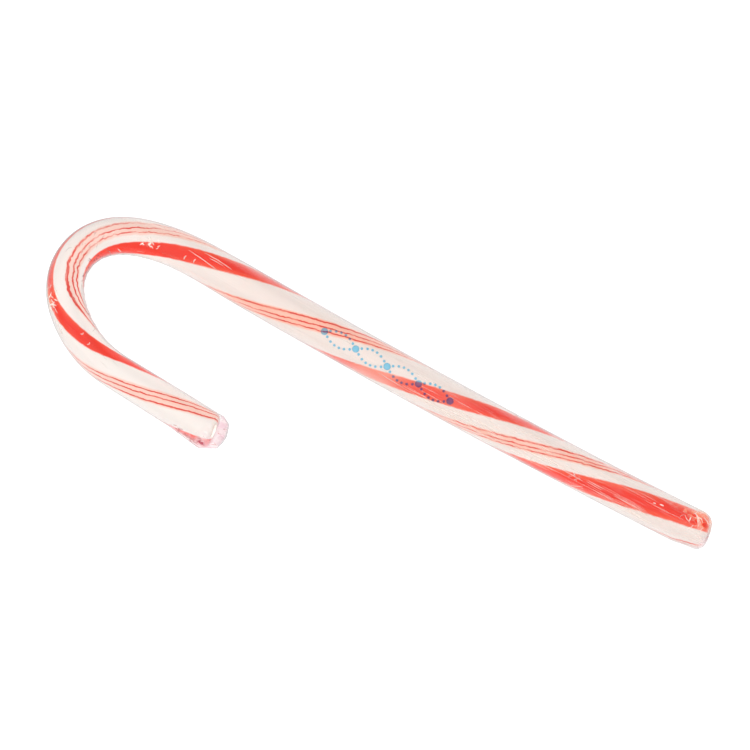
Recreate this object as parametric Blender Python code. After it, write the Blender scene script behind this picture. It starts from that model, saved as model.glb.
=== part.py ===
"""A candy cane in a tight clear film sleeve, lying on its side.

Metres, +Z up. The straight shaft runs along X with its foot at +X. The hook turns toward -Y,
so the tail points back to +X and splays a little away from the shaft.
"""

import math

import bmesh
import bpy
import numpy as np
from mathutils import Matrix, Vector

MM = 0.001

# The candy stick, measured along its centreline from the middle of the foot's face.
STICK_LENGTH = 189.7 * MM
# (distance along the stick, width): it is drawn thinner where it was bent.
STICK_WIDTHS = (
    (0.0, 7.9 * MM),
    (26 * MM, 7.7 * MM),
    (50 * MM, 7.9 * MM),
    (104 * MM, 8.0 * MM),
    (120 * MM, 7.4 * MM),
    (148 * MM, 7.3 * MM),
    (166 * MM, 7.0 * MM),
    (STICK_LENGTH, 7.3 * MM),
)
# The heading starts along -X and turns at this even rate, so the shaft bows slightly.
FOOT_HEADING = math.radians(180.7)
SHAFT_BOW = math.radians(-3.3) / (100 * MM)
# The hook is three bends that overlap: (middle of the bend, its span, its turn).
HOOK_BENDS = (
    (133.1 * MM, 50 * MM, math.radians(69.5)),
    (141.2 * MM, 31 * MM, math.radians(80.5)),
    (160.8 * MM, 15 * MM, math.radians(30.5)),
)
FOOT_DOME = 2.6 * MM
TAIL_DOME = 1.9 * MM
DOME_SQUARENESS = 3.0
FOOT_LEAN = math.radians(6)
LEAN_REACH = 8 * MM
REST_FLAT_DEPTH = 0.12 * MM
CUTTER_MARGIN = 5 * MM

# The stripes twist round the stick: (distance along it, degrees per millimetre).
TWIST_RATES = (
    (0.0, 2.4),
    (14 * MM, 2.7),
    (38 * MM, 3.7),
    (70 * MM, 3.3),
    (106 * MM, 4.15),
    (136 * MM, 2.8),
    (152 * MM, 5.5),
    (166 * MM, 4.6),
    (STICK_LENGTH, 4.5),
)
# The middle of the broad red stripe faces up at this distance from the foot.
BROAD_STRIPE_UP_AT = 15 * MM
# (angle round the untwisted stick, width) in degrees. Each thin-line group is drawn as one band.
STRIPES = {
    "candy_red": ((0, 52), (208, 39)),
    "candy_pink": ((105, 34), (285, 34)),
}

# The film past each end of the candy is gathered into a pleated cap.
FILM_GAP = 0.3 * MM
FOOT_CAP = {"reach": 0.45 * MM, "width": 6.6 * MM, "pleats": 11, "pleat_depth": 0.22, "swirl": 0.9}
TAIL_CAP = {"reach": 1.8 * MM, "width": 7.0 * MM, "pleats": 7, "pleat_depth": 0.16, "swirl": 0.5}
CAP_SEGMENTS = 44
CAP_RINGS = 10

SIDES = 32
RING_SPACING = 1.65 * MM
DOME_RINGS = 6
DOME_TOP = 0.22
PATH_SAMPLES = 2400

MATERIALS = {
    "candy_white": {"color": (0.90, 0.82, 0.77), "roughness": 0.25},
    "candy_red": {"color": (0.87, 0.06, 0.035), "roughness": 0.25},
    "candy_pink": {"color": (0.93, 0.50, 0.40), "roughness": 0.25},
    "clear_film": {"color": (0.90, 0.88, 0.88), "roughness": 0.12},
}


def remove_start_objects():
    for obj in list(bpy.data.objects):
        bpy.data.objects.remove(obj, do_unlink=True)


def new_collection(name):
    collection = bpy.data.collections.new(name)
    bpy.context.scene.collection.children.link(collection)
    return collection


def principled(name):
    look = MATERIALS[name]
    material = bpy.data.materials.new(name)
    material.use_nodes = True
    shader = material.node_tree.nodes["Principled BSDF"]
    shader.inputs["Base Color"].default_value = (*look["color"], 1)
    shader.inputs["Roughness"].default_value = look["roughness"]
    shader.inputs["Metallic"].default_value = 0
    material.diffuse_color = (*look["color"], 1)
    return material


def smooth_step(value):
    value = np.clip(value, 0, 1)
    return value * value * (3 - 2 * value)


def running_sum(values, step):
    """The integral of evenly spaced values, by the trapezium rule."""
    return np.concatenate([[0], np.cumsum((values[1:] + values[:-1]) / 2) * step])


class StickPath:
    """The stick's centreline, width and stripe twist as functions of the distance from the foot."""

    def __init__(self):
        self.distance = np.linspace(0, STICK_LENGTH, PATH_SAMPLES)
        step = self.distance[1]
        self.heading = FOOT_HEADING + SHAFT_BOW * self.distance
        for middle, span, turn in HOOK_BENDS:
            self.heading += turn * smooth_step((self.distance - middle) / span + 0.5)
        self.width = np.interp(self.distance, *zip(*STICK_WIDTHS))
        self.x = running_sum(np.cos(self.heading), step)
        self.y = running_sum(np.sin(self.heading), step)
        rate = np.interp(self.distance, *zip(*TWIST_RATES)) / MM
        twist = running_sum(rate, step)
        self.twist = np.radians(twist - np.interp(BROAD_STRIPE_UP_AT, self.distance, twist))

    def at(self, distance, values):
        return float(np.interp(distance, self.distance, values))

    def point(self, distance):
        """Every part of the underside, less the flat that it rests on, is level at z = 0."""
        height = self.at(distance, self.width) / 2 - REST_FLAT_DEPTH
        return Vector((self.at(distance, self.x), self.at(distance, self.y), height))

    def along(self, distance):
        heading = self.at(distance, self.heading)
        return Vector((math.cos(heading), math.sin(heading), 0))

    def inward(self, distance):
        """The level direction across the stick, toward the hook's inner side."""
        heading = self.at(distance, self.heading)
        return Vector((-math.sin(heading), math.cos(heading), 0))


def dome_stations(length):
    """(distance from the end's face, share of the full radius), from the face to the full stick."""
    for ring in range(DOME_RINGS):
        slope = (math.pi / 2) * ring / DOME_RINGS
        share = max(math.sin(slope) ** (2 / DOME_SQUARENESS), DOME_TOP if ring == 0 else 0)
        yield length * (1 - math.cos(slope) ** (2 / DOME_SQUARENESS)), share


def stick_stations():
    """(distance along the stick, share of the full radius) of every ring, from foot to tail."""
    first, last = FOOT_DOME, STICK_LENGTH - TAIL_DOME
    rings = round((last - first) / RING_SPACING)
    foot = list(dome_stations(FOOT_DOME))
    body = [(first + (last - first) * ring / rings, 1.0) for ring in range(rings + 1)]
    tail = [(STICK_LENGTH - distance, share) for distance, share in dome_stations(TAIL_DOME)]
    return foot + body + tail[::-1]


def stick_curve(path):
    """A bevelled curve whose tilt carries the stripes' twist and whose radius rounds the ends."""
    curve = bpy.data.curves.new("stick_centreline", "CURVE")
    curve.dimensions = "3D"
    curve.twist_mode = "Z_UP"
    curve.bevel_depth = 1
    curve.bevel_resolution = SIDES // 2 - 2
    curve.use_fill_caps = True
    stations = stick_stations()
    spline = curve.splines.new("POLY")
    spline.points.add(len(stations) - 1)
    for point, (distance, share) in zip(spline.points, stations):
        point.co = (*path.point(distance), 1)
        point.radius = share * path.at(distance, path.width) / 2
        point.tilt = -path.at(distance, path.twist)
    return curve


def mesh_of_curve(curve, name):
    """The curve's mesh with its loose end caps welded on."""
    holder = bpy.data.objects.new(name, curve)
    bpy.context.scene.collection.objects.link(holder)
    graph = bpy.context.evaluated_depsgraph_get()
    mesh = bpy.data.meshes.new_from_object(holder.evaluated_get(graph))
    bpy.data.objects.remove(holder, do_unlink=True)
    mesh.name = name
    welded = bmesh.new()
    welded.from_mesh(mesh)
    bmesh.ops.remove_doubles(welded, verts=welded.verts, dist=0.001 * MM)
    bmesh.ops.recalc_face_normals(welded, faces=welded.faces)
    welded.to_mesh(mesh)
    welded.free()
    return mesh


def stripe_at(angle):
    """The name of the material at this angle, in degrees round the untwisted stick."""
    for name, bands in STRIPES.items():
        for middle, width in bands:
            if abs((angle - middle + 180) % 360 - 180) < width / 2:
                return name
    return "candy_white"


def paint_stripes(mesh, path):
    """Gives each face the stripe that its middle lies in."""
    names = ["candy_white", *STRIPES]
    for name in names:
        mesh.materials.append(principled(name))
    for face in mesh.polygons:
        nearest = np.argmin(np.hypot(path.x - face.center.x, path.y - face.center.y))
        distance = path.distance[nearest]
        offset = face.center - path.point(distance)
        angle = math.atan2(offset.dot(path.inward(distance)), offset.z) - path.twist[nearest]
        face.material_index = names.index(stripe_at(math.degrees(angle)))


def lean_foot(mesh, path):
    """Shears the foot's end so that its inner side reaches a little further than its outer side."""
    foot, outward, inward = path.point(0), -path.along(0), path.inward(0)
    for vertex in mesh.vertices:
        offset = vertex.co - foot
        fade = 1 + offset.dot(outward) / LEAN_REACH
        if fade > 0:
            vertex.co += outward * (offset.dot(inward) * math.tan(FOOT_LEAN) * fade)


def rest_flat_cutter(collection, stick):
    """A box whose top is the flat strip that the cane rests on."""
    corners = [Vector(corner) for corner in stick.bound_box]
    low = Vector(map(min, zip(*corners)))
    high = Vector(map(max, zip(*corners)))
    middle = (low + high) / 2
    bpy.ops.mesh.primitive_cube_add(size=1, location=(middle.x, middle.y, -CUTTER_MARGIN / 2))
    cutter = bpy.context.object
    cutter.name = "rest_flat_cutter"
    size = high - low
    cutter.scale = (size.x + 2 * CUTTER_MARGIN, size.y + 2 * CUTTER_MARGIN, CUTTER_MARGIN)
    cutter.hide_render = True
    cutter.display_type = "WIRE"
    cutter.users_collection[0].objects.unlink(cutter)
    collection.objects.link(cutter)
    return cutter


def candy_cane(parts, cutters, path):
    mesh = mesh_of_curve(stick_curve(path), "candy_cane")
    paint_stripes(mesh, path)
    lean_foot(mesh, path)
    mesh.shade_smooth()
    stick = bpy.data.objects.new("candy_cane", mesh)
    parts.objects.link(stick)
    flat = stick.modifiers.new("rest flat", "BOOLEAN")
    flat.operation = "DIFFERENCE"
    flat.solver = "EXACT"
    flat.object = rest_flat_cutter(cutters, stick)
    return stick


def film_cap(parts, name, shape, face_middle, outward):
    """A disc of gathered film: flat toward the candy, with radial pleats on its outer side."""
    cap = bmesh.new()
    bmesh.ops.create_uvsphere(cap, u_segments=CAP_SEGMENTS, v_segments=CAP_RINGS, radius=1)
    for vertex in cap.verts:
        share = math.hypot(vertex.co.x, vertex.co.y)
        angle = math.atan2(vertex.co.y, vertex.co.x)
        pleat = math.cos(shape["pleats"] * angle + shape["swirl"] * 2 * math.pi * share)
        bulge = 1 + shape["pleat_depth"] * pleat * smooth_step(share / 0.5)
        height = max(vertex.co.z, 0) ** (2 / DOME_SQUARENESS) * shape["reach"] * bulge
        vertex.co = (
            vertex.co.x * shape["width"] / 2,
            vertex.co.y * shape["width"] / 2,
            height + FILM_GAP,
        )
    mesh = bpy.data.meshes.new(name)
    cap.to_mesh(mesh)
    cap.free()
    mesh.materials.append(principled("clear_film"))
    mesh.shade_smooth()
    obj = bpy.data.objects.new(name, mesh)
    side = Vector((0, 0, 1)).cross(outward)
    turn = Matrix((side, Vector((0, 0, 1)), outward)).transposed().to_4x4()
    obj.matrix_world = Matrix.Translation(face_middle) @ turn
    parts.objects.link(obj)
    return obj


def centre_on_origin(objects, helpers):
    """Moves everything so that the middle of the whole footprint is at the origin."""
    bpy.context.view_layer.update()
    points = [obj.matrix_world @ vertex.co for obj in objects for vertex in obj.data.vertices]
    middle_x = (min(p.x for p in points) + max(p.x for p in points)) / 2
    middle_y = (min(p.y for p in points) + max(p.y for p in points)) / 2
    for obj in objects + helpers:
        obj.location -= Vector((middle_x, middle_y, 0))


def main():
    remove_start_objects()
    parts = new_collection("candy_cane")
    cutters = new_collection("cutters")
    path = StickPath()
    stick = candy_cane(parts, cutters, path)
    foot, tail = path.point(0), path.point(STICK_LENGTH)
    foot_cap = film_cap(parts, "film_foot_cap", FOOT_CAP, foot, -path.along(0))
    tail_cap = film_cap(parts, "film_tail_cap", TAIL_CAP, tail, path.along(STICK_LENGTH))
    centre_on_origin([stick, foot_cap, tail_cap], list(cutters.objects))


main()
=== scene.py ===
import math

import bpy
import numpy as np
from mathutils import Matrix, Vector


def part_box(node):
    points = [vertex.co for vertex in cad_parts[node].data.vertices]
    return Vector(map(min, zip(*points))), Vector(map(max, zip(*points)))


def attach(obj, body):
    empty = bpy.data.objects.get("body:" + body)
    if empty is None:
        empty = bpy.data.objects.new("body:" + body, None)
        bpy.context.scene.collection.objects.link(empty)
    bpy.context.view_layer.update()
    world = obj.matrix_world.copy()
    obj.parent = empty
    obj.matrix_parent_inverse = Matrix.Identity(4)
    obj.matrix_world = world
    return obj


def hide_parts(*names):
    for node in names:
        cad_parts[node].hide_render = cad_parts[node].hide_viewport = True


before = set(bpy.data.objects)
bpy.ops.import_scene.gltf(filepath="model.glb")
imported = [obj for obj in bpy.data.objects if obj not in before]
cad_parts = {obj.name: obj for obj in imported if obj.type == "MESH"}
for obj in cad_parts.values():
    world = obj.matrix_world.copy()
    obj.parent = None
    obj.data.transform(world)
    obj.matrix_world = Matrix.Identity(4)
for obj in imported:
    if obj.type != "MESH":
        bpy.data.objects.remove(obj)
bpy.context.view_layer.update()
mm = 0.001

# The stick as the solids have it: its centreline runs from the middle of the foot's face to the tail.
stick = {
    "length": 189.7 * mm,
    "widths": (
        (0.0, 7.9 * mm),
        (26 * mm, 7.7 * mm),
        (50 * mm, 7.9 * mm),
        (104 * mm, 8.0 * mm),
        (120 * mm, 7.4 * mm),
        (148 * mm, 7.3 * mm),
        (166 * mm, 7.0 * mm),
        (189.7 * mm, 7.3 * mm),
    ),
    "footHeading": math.radians(180.7),
    "bow": math.radians(-3.3) / (100 * mm),
    "hookBends": (  # middle of the bend, its span, its turn
        (133.1 * mm, 50 * mm, math.radians(69.5)),
        (141.2 * mm, 31 * mm, math.radians(80.5)),
        (160.8 * mm, 15 * mm, math.radians(30.5)),
    ),
    "twistRates": (  # degrees a millimetre
        (0.0, 2.4),
        (12 * mm, 2.7),
        (24 * mm, 3.65),
        (44 * mm, 3.65),
        (62 * mm, 3.05),
        (84 * mm, 3.75),
        (106 * mm, 4.3),
        (120 * mm, 3.55),
        (134 * mm, 2.8),
        (142 * mm, 3.0),
        (152 * mm, 5.9),
        (161 * mm, 5.3),
        (168 * mm, 3.3),
        (175 * mm, 4.9),
        (189.7 * mm, 5.0),
    ),
    "broadStripeUpAt": 15.7 * mm,
    "restFlatDepth": 0.12 * mm,
    "footLean": math.radians(6),
    "leanReach": 8 * mm,
    "tailLean": math.radians(10),
    "tailLeanReach": 4 * mm,
    "footSqueeze": 0.14,
    "samples": 3000,
}


def smoothStep(value):
    value = np.clip(value, 0, 1)
    return value * value * (3 - 2 * value)


def bump(value, middle, reach):
    return np.exp(-(((value - middle) / reach) ** 2))


def runningSum(values, step):
    return np.concatenate([[0], np.cumsum((values[1:] + values[:-1]) / 2) * step])


def traceStick():
    trace = {"along": np.linspace(0, stick["length"], stick["samples"])}
    step = trace["along"][1]
    heading = stick["footHeading"] + stick["bow"] * trace["along"]
    for middle, span, turn in stick["hookBends"]:
        heading += turn * smoothStep((trace["along"] - middle) / span + 0.5)
    trace["heading"] = heading
    trace["width"] = np.interp(trace["along"], *zip(*stick["widths"]))
    trace["x"] = runningSum(np.cos(heading), step)
    trace["y"] = runningSum(np.sin(heading), step)
    rate = np.radians(np.interp(trace["along"], *zip(*stick["twistRates"]))) / mm
    twist = runningSum(rate, step)
    trace["twist"] = twist - np.interp(stick["broadStripeUpAt"], trace["along"], twist)
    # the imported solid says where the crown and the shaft's outer side are
    low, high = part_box("candy_cane")
    outerX = trace["x"] + np.sin(heading) * trace["width"] / 2
    outerY = trace["y"] - np.cos(heading) * trace["width"] / 2
    trace["x"] += low[0] - outerX.min()
    trace["y"] += high[1] - outerY.max()
    return trace


trace = traceStick()


def along(name, distance):
    return np.interp(distance, trace["along"], trace[name])


def forwardAt(distance):
    heading = along("heading", distance)
    return np.stack([np.cos(heading), np.sin(heading), np.zeros_like(heading)], -1)


def inwardAt(distance):
    # level, across the stick, towards the inner side of the hook
    heading = along("heading", distance)
    return np.stack([-np.sin(heading), np.cos(heading), np.zeros_like(heading)], -1)


def centreAt(distance):
    # past the two ends the centreline runs straight on
    distance = np.asarray(distance, float)
    inside = np.clip(distance, 0, stick["length"])
    height = along("width", inside) / 2 - stick["restFlatDepth"]
    centre = np.stack([along("x", inside), along("y", inside), height], -1)
    return centre + (distance - inside)[..., None] * forwardAt(inside)


def onStick(distance, turn, lift=0.0):
    # turn is measured round the stick from its top, towards the hook's inner side
    radius = along("width", distance) / 2 + lift
    point = centreAt(distance) + inwardAt(distance) * (radius * np.sin(turn))[..., None]
    point[..., 2] += radius * np.cos(turn)
    return point


def domeStations(length, squareness, rings):
    # distance from the end's face and share of the full radius, from the pole outwards
    for ring in range(rings):
        slope = math.pi / 2 * ring / rings
        power = 2 / squareness
        yield length * (1 - math.cos(slope) ** power), math.sin(slope) ** power


def stickStations(settings):
    start, end = -settings["pastFoot"], stick["length"] + settings["pastTail"]
    footDome, tailDome, rings = settings["footDome"], settings["tailDome"], settings["domeRings"]
    foot = [(start + d, share) for d, share in domeStations(footDome, settings["footSquareness"], rings)]
    tail = [(end - d, share) for d, share in domeStations(tailDome, settings["tailSquareness"], rings)]
    first, last = start + footDome, end - tailDome
    rings = round((last - first) / settings["ringSpacing"])
    body = [(first + (last - first) * ring / rings, 1.0) for ring in range(rings + 1)]
    return foot + body + tail[::-1]


# Small helpers for node trees.


def addNode(tree, kind, values=None, **options):
    node = tree.nodes.new(kind)
    for name, value in options.items():
        setattr(node, name, value)
    for name, value in (values or {}).items():
        node.inputs[name].default_value = value
    return node


def join(tree, source, target, output=0, socket=0):
    tree.links.new(source.outputs[output], target.inputs[socket])
    return target


def feed(tree, value, socket):
    if isinstance(value, bpy.types.NodeSocket):
        tree.links.new(value, socket)
    else:
        socket.default_value = value


def maths(tree, operation, first, second=None, third=None, clamp=False):
    node = addNode(tree, "ShaderNodeMath", operation=operation, use_clamp=clamp)
    for socket, value in zip(node.inputs, (first, second, third)):
        if value is not None:
            feed(tree, value, socket)
    return node.outputs[0]


def vectorMaths(tree, operation, first, second):
    node = addNode(tree, "ShaderNodeVectorMath", operation=operation)
    feed(tree, first, node.inputs[0])
    feed(tree, second, node.inputs["Scale" if operation == "SCALE" else 1])
    return node.outputs[0]


def remap(tree, value, fromMin, fromMax, toMin, toMax, kind="LINEAR"):
    ends = {"From Min": fromMin, "From Max": fromMax, "To Min": toMin, "To Max": toMax}
    node = addNode(tree, "ShaderNodeMapRange", interpolation_type=kind)
    tree.links.new(value, node.inputs["Value"])
    for name, end in ends.items():
        feed(tree, end, node.inputs[name])
    return node.outputs[0]


def alongRamp(tree, distance, stops, most=2.0):
    # a value that runs straight from stop to stop, which are in millimetres along the stick
    ramp = addNode(tree, "ShaderNodeValToRGB")
    tree.links.new(maths(tree, "DIVIDE", distance, 200.0), ramp.inputs[0])
    elements = ramp.color_ramp.elements
    elements[0].color = (stops[0][1] / most,) * 3 + (1,)
    elements[-1].color = (stops[-1][1] / most,) * 3 + (1,)
    for place, value in stops:
        elements.new(place / 200).color = (value / most,) * 3 + (1,)
    return maths(tree, "MULTIPLY", ramp.outputs[0], most)


def mixColours(tree, mask, first, second):
    node = addNode(tree, "ShaderNodeMix", data_type="RGBA")
    for value, name in ((mask, "Factor_Float"), (first, "A_Color"), (second, "B_Color")):
        socket = next(item for item in node.inputs if item.identifier == name)
        feed(tree, (*value, 1) if isinstance(value, tuple) else value, socket)
    return next(item for item in node.outputs if item.identifier == "Result_Color")


def newMaterial(name, **plain):
    material = bpy.data.materials.new(name)
    material.use_nodes = True
    tree = material.node_tree
    shader = tree.nodes["Principled BSDF"]
    for socket, value in plain.items():
        shader.inputs[socket].default_value = value
    return material, tree, shader


def newTree(name, kind, inputs, outputs):
    tree = bpy.data.node_groups.new(name, kind)
    for way, sockets in (("INPUT", inputs), ("OUTPUT", outputs)):
        for title, sort in sockets:
            tree.interface.new_socket(title, in_out=way, socket_type="NodeSocket" + sort)
    return tree, addNode(tree, "NodeGroupInput").outputs, addNode(tree, "NodeGroupOutput").inputs


def useGroup(tree, group, **values):
    node = addNode(tree, "ShaderNodeGroup", node_tree=group)
    for name, value in values.items():
        feed(tree, value, node.inputs[name])
    return node.outputs[0]


def finishTree(tree, given, result, geometry):
    smooth = join(tree, geometry, addNode(tree, "GeometryNodeSetShadeSmooth"))
    realize = join(tree, smooth, addNode(tree, "GeometryNodeRealizeInstances"))
    finish = join(tree, realize, addNode(tree, "GeometryNodeSetMaterial"))
    tree.links.new(given["Material"], finish.inputs["Material"])
    tree.links.new(finish.outputs[0], result["Geometry"])


def runTree(holder, tree, values):
    # sets the tree's named inputs, takes the result as a plain mesh and drops the holder
    modifier = holder.modifiers.new(tree.name, "NODES")
    modifier.node_group = tree
    sockets = {item.name: item.identifier for item in tree.interface.items_tree if item.in_out == "INPUT"}
    for name, value in values.items():
        modifier[sockets[name]] = value
    graph = bpy.context.evaluated_depsgraph_get()
    mesh = bpy.data.meshes.new_from_object(holder.evaluated_get(graph), depsgraph=graph)
    holder.modifiers.remove(modifier)
    bpy.data.objects.remove(holder, do_unlink=True)
    return mesh


def newObject(name, data):
    data.name = name
    piece = bpy.data.objects.new(name, data)
    bpy.context.scene.collection.objects.link(piece)
    return piece


# A ring swept along the stick, closed at both poles, with a grain that follows the twist.


def sweepTree():
    inputs = (
        ("Geometry", "Geometry"),
        ("Sides", "Int"),
        ("Relief Depth", "Float"),
        ("Relief Size", "Float"),
        ("Relief Stretch", "Float"),
        ("Seed", "Float"),
        ("Material", "Material"),
    )
    tree, given, result = newTree("sweepRing", "GeometryNodeTree", inputs, [("Geometry", "Geometry")])
    ring = addNode(tree, "GeometryNodeCurvePrimitiveCircle", {"Radius": 1.0})
    tree.links.new(given["Sides"], ring.inputs["Resolution"])
    roundRing = addNode(tree, "GeometryNodeCaptureAttribute")
    roundRing.capture_items.new("FLOAT", "Round")
    ringShare = addNode(tree, "GeometryNodeSplineParameter")
    tree.links.new(ring.outputs["Curve"], roundRing.inputs["Geometry"])
    tree.links.new(ringShare.outputs["Factor"], roundRing.inputs["Round"])
    alongPath = addNode(tree, "GeometryNodeCaptureAttribute")
    alongPath.capture_items.new("FLOAT", "Along")
    pathLength = addNode(tree, "GeometryNodeSplineParameter")
    tree.links.new(given["Geometry"], alongPath.inputs["Geometry"])
    tree.links.new(pathLength.outputs["Length"], alongPath.inputs["Along"])

    radius = addNode(tree, "GeometryNodeInputRadius")
    sweep = addNode(tree, "GeometryNodeCurveToMesh", {"Fill Caps": False})
    tree.links.new(alongPath.outputs["Geometry"], sweep.inputs["Curve"])
    tree.links.new(roundRing.outputs["Geometry"], sweep.inputs["Profile Curve"])
    tree.links.new(radius.outputs["Radius"], sweep.inputs["Scale"])
    poles = join(tree, sweep, addNode(tree, "GeometryNodeMergeByDistance", {"Distance": 1e-6}))

    turn = maths(tree, "MULTIPLY", roundRing.outputs["Round"], 2 * math.pi)
    spot = addNode(tree, "ShaderNodeCombineXYZ")
    tree.links.new(maths(tree, "COSINE", turn), spot.inputs[0])
    tree.links.new(maths(tree, "SINE", turn), spot.inputs[1])
    tree.links.new(maths(tree, "MULTIPLY", alongPath.outputs["Along"], given["Relief Stretch"]), spot.inputs[2])
    grain = addNode(tree, "ShaderNodeTexNoise", {"Detail": 3.0, "Roughness": 0.55}, noise_dimensions="4D")
    tree.links.new(spot.outputs[0], grain.inputs["Vector"])
    tree.links.new(given["Seed"], grain.inputs["W"])
    tree.links.new(given["Relief Size"], grain.inputs["Scale"])
    height = maths(tree, "MULTIPLY", maths(tree, "SUBTRACT", grain.outputs[0], 0.5), given["Relief Depth"])
    normal = addNode(tree, "GeometryNodeInputNormal")
    relief = join(tree, poles, addNode(tree, "GeometryNodeSetPosition"))
    tree.links.new(vectorMaths(tree, "SCALE", normal.outputs[0], height), relief.inputs["Offset"])

    keepAlong = addNode(tree, "GeometryNodeStoreNamedAttribute", {"Name": "along"}, data_type="FLOAT")
    join(tree, relief, keepAlong)
    tree.links.new(alongPath.outputs["Along"], keepAlong.inputs["Value"])
    finishTree(tree, given, result, keepAlong)
    return tree


def pathCurve(name, stations, extraRadius):
    curve = bpy.data.curves.new(name, "CURVE")
    curve.dimensions = "3D"
    curve.twist_mode = "Z_UP"
    spline = curve.splines.new("POLY")
    spline.points.add(len(stations) - 1)
    for point, (distance, share) in zip(spline.points, stations):
        point.co = (*centreAt(distance), 1)
        point.radius = share * (float(along("width", distance)) / 2 + extraRadius)
        point.tilt = -float(along("twist", distance))
    return newObject(name, curve)


def sweepPiece(name, settings, material):
    holder = pathCurve(name + "Path", stickStations(settings), settings["lift"])
    values = {
        "Sides": settings["sides"],
        "Relief Depth": settings["reliefDepth"],
        "Relief Size": settings["reliefSize"],
        "Relief Stretch": settings["reliefStretch"],
        "Seed": settings["seed"],
        "Material": material,
    }
    return runTree(holder, sweepRing, values)


def readPoints(mesh):
    points = np.empty(len(mesh.vertices) * 3)
    mesh.vertices.foreach_get("co", points)
    return points.reshape(-1, 3)


def writePoints(mesh, points, lowest):
    points[:, 2] = np.maximum(points[:, 2], lowest)
    mesh.vertices.foreach_set("co", points.ravel())
    mesh.update()


def readAlong(mesh, settings):
    values = np.empty(len(mesh.vertices))
    mesh.attributes["along"].data.foreach_get("value", values)
    return values - settings["pastFoot"]


def turnAt(points, distance):
    # the angle round the stick, from its top towards the hook's inner side
    offset = points - centreAt(distance)
    return np.arctan2((offset * inwardAt(distance)).sum(1), offset[:, 2])


def nearestDistance(points):
    # how far along the stick each point lies, from the nearest sample of the centreline
    line = np.stack([trace["x"], trace["y"]], -1)
    gaps = np.linalg.norm(points[:, None, :2] - line[None, ::4], axis=2)
    return trace["along"][::4][gaps.argmin(1)]


def leanFoot(points):
    # the foot's inner side reaches a little further than its outer side, and is drawn in near its corner
    outward, inward = -forwardAt(0.0), inwardAt(0.0)
    offset = points - centreAt(0.0)
    fade = np.clip(1 + offset @ outward / stick["leanReach"], 0, None)
    across = offset @ inward
    shift = across * math.tan(stick["footLean"]) * fade
    drawnIn = stick["footSqueeze"] * np.clip(across, 0, None) * smoothStep((fade - 0.2) / 0.6)
    return points + shift[:, None] * outward - drawnIn[:, None] * inward


def leanTail(points):
    # the candy's outer side reaches a little further than its inner side
    outward, inward = forwardAt(stick["length"]), inwardAt(stick["length"])
    offset = points - centreAt(stick["length"])
    fade = np.clip(1 + offset @ outward / stick["tailLeanReach"], 0, None)
    near = np.linalg.norm(offset[:, :2], axis=1) < 12 * mm
    shift = offset @ inward * math.tan(stick["tailLean"]) * fade * near
    return points - shift[:, None] * outward


def storeSpot(mesh, name, turn, distance):
    # cosine and sine of the turn, and the distance along the stick in millimetres
    attribute = mesh.attributes.new(name, "FLOAT_VECTOR", "POINT")
    values = np.stack([np.cos(turn), np.sin(turn), distance / mm], -1)
    attribute.data.foreach_set("vector", values.ravel())


def storeNumber(mesh, name, values):
    attribute = mesh.attributes.new(name, "FLOAT", "POINT")
    attribute.data.foreach_set("value", np.asarray(values, float))


def layStripMap(mesh, distance, turn, strips, gap):
    # the tube's skin as a few strips side by side, cut where the turn passes half a circle
    start, length = distance.min(), distance.max() - distance.min()
    girth = math.pi * max(trace["width"])
    size = max(length / strips + gap, strips * (girth + gap))
    layer = mesh.uv_layers.new(name="OFBake")
    vertexOf = np.empty(len(mesh.loops), int)
    mesh.loops.foreach_get("vertex_index", vertexOf)
    starts = np.empty(len(mesh.polygons), int)
    counts = np.empty(len(mesh.polygons), int)
    mesh.polygons.foreach_get("loop_start", starts)
    mesh.polygons.foreach_get("loop_total", counts)
    faceOf = np.repeat(np.arange(len(starts)), counts)
    share = turn[vertexOf] / (2 * math.pi) + 0.5
    firstShare = share[starts][faceOf]
    share = share - np.round(share - firstShare)
    middle = np.bincount(faceOf, distance[vertexOf]) / counts
    strip = np.clip(np.floor((middle - start) / length * strips), 0, strips - 1)[faceOf]
    u = (distance[vertexOf] - start - strip * length / strips) / size
    v = (share * girth + strip * (girth + gap)) / size
    layer.data.foreach_set("uv", np.stack([u, v], -1).ravel() * 0.98 + 0.01)


# Node groups that the materials share.


def bandGroup():
    # one lengthwise stripe: 1 inside it and 0 outside, angles in degrees except the turn
    inputs = [(name, "Float") for name in ("Turn", "Centre", "HalfWidth", "Softness")]
    tree, given, result = newTree("stripeBand", "ShaderNodeTree", inputs, [("Mask", "Float")])
    centre = maths(tree, "RADIANS", given["Centre"])
    away = maths(tree, "COSINE", maths(tree, "SUBTRACT", given["Turn"], centre))
    away = maths(tree, "DEGREES", maths(tree, "ARCCOSINE", away))
    inside = maths(tree, "SUBTRACT", given["HalfWidth"], away)
    inside = maths(tree, "DIVIDE", inside, given["Softness"])
    tree.links.new(remap(tree, inside, -0.5, 0.5, 0.0, 1.0, "SMOOTHSTEP"), result["Mask"])
    return tree


def wanderGroup():
    # a turn that strays from its line: a slow wander and a quick waver, both in degrees
    names = ("Turn", "Along", "Seed", "Slow", "SlowReach", "Quick", "QuickReach")
    tree, given, result = newTree(
        "stripeWander", "ShaderNodeTree", [(name, "Float") for name in names], [("Turn", "Float")]
    )
    total = given["Turn"]
    for size in ("Slow", "Quick"):
        wave = addNode(tree, "ShaderNodeTexNoise", {"Scale": 1.0, "Detail": 1.0}, noise_dimensions="1D")
        tree.links.new(maths(tree, "MULTIPLY_ADD", given["Along"], given[size], given["Seed"]), wave.inputs["W"])
        stray = maths(tree, "SUBTRACT", wave.outputs[0], 0.5)
        reach = maths(tree, "RADIANS", given[size + "Reach"])
        total = maths(tree, "MULTIPLY_ADD", stray, reach, total)
    tree.links.new(total, result["Turn"])
    return tree


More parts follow.
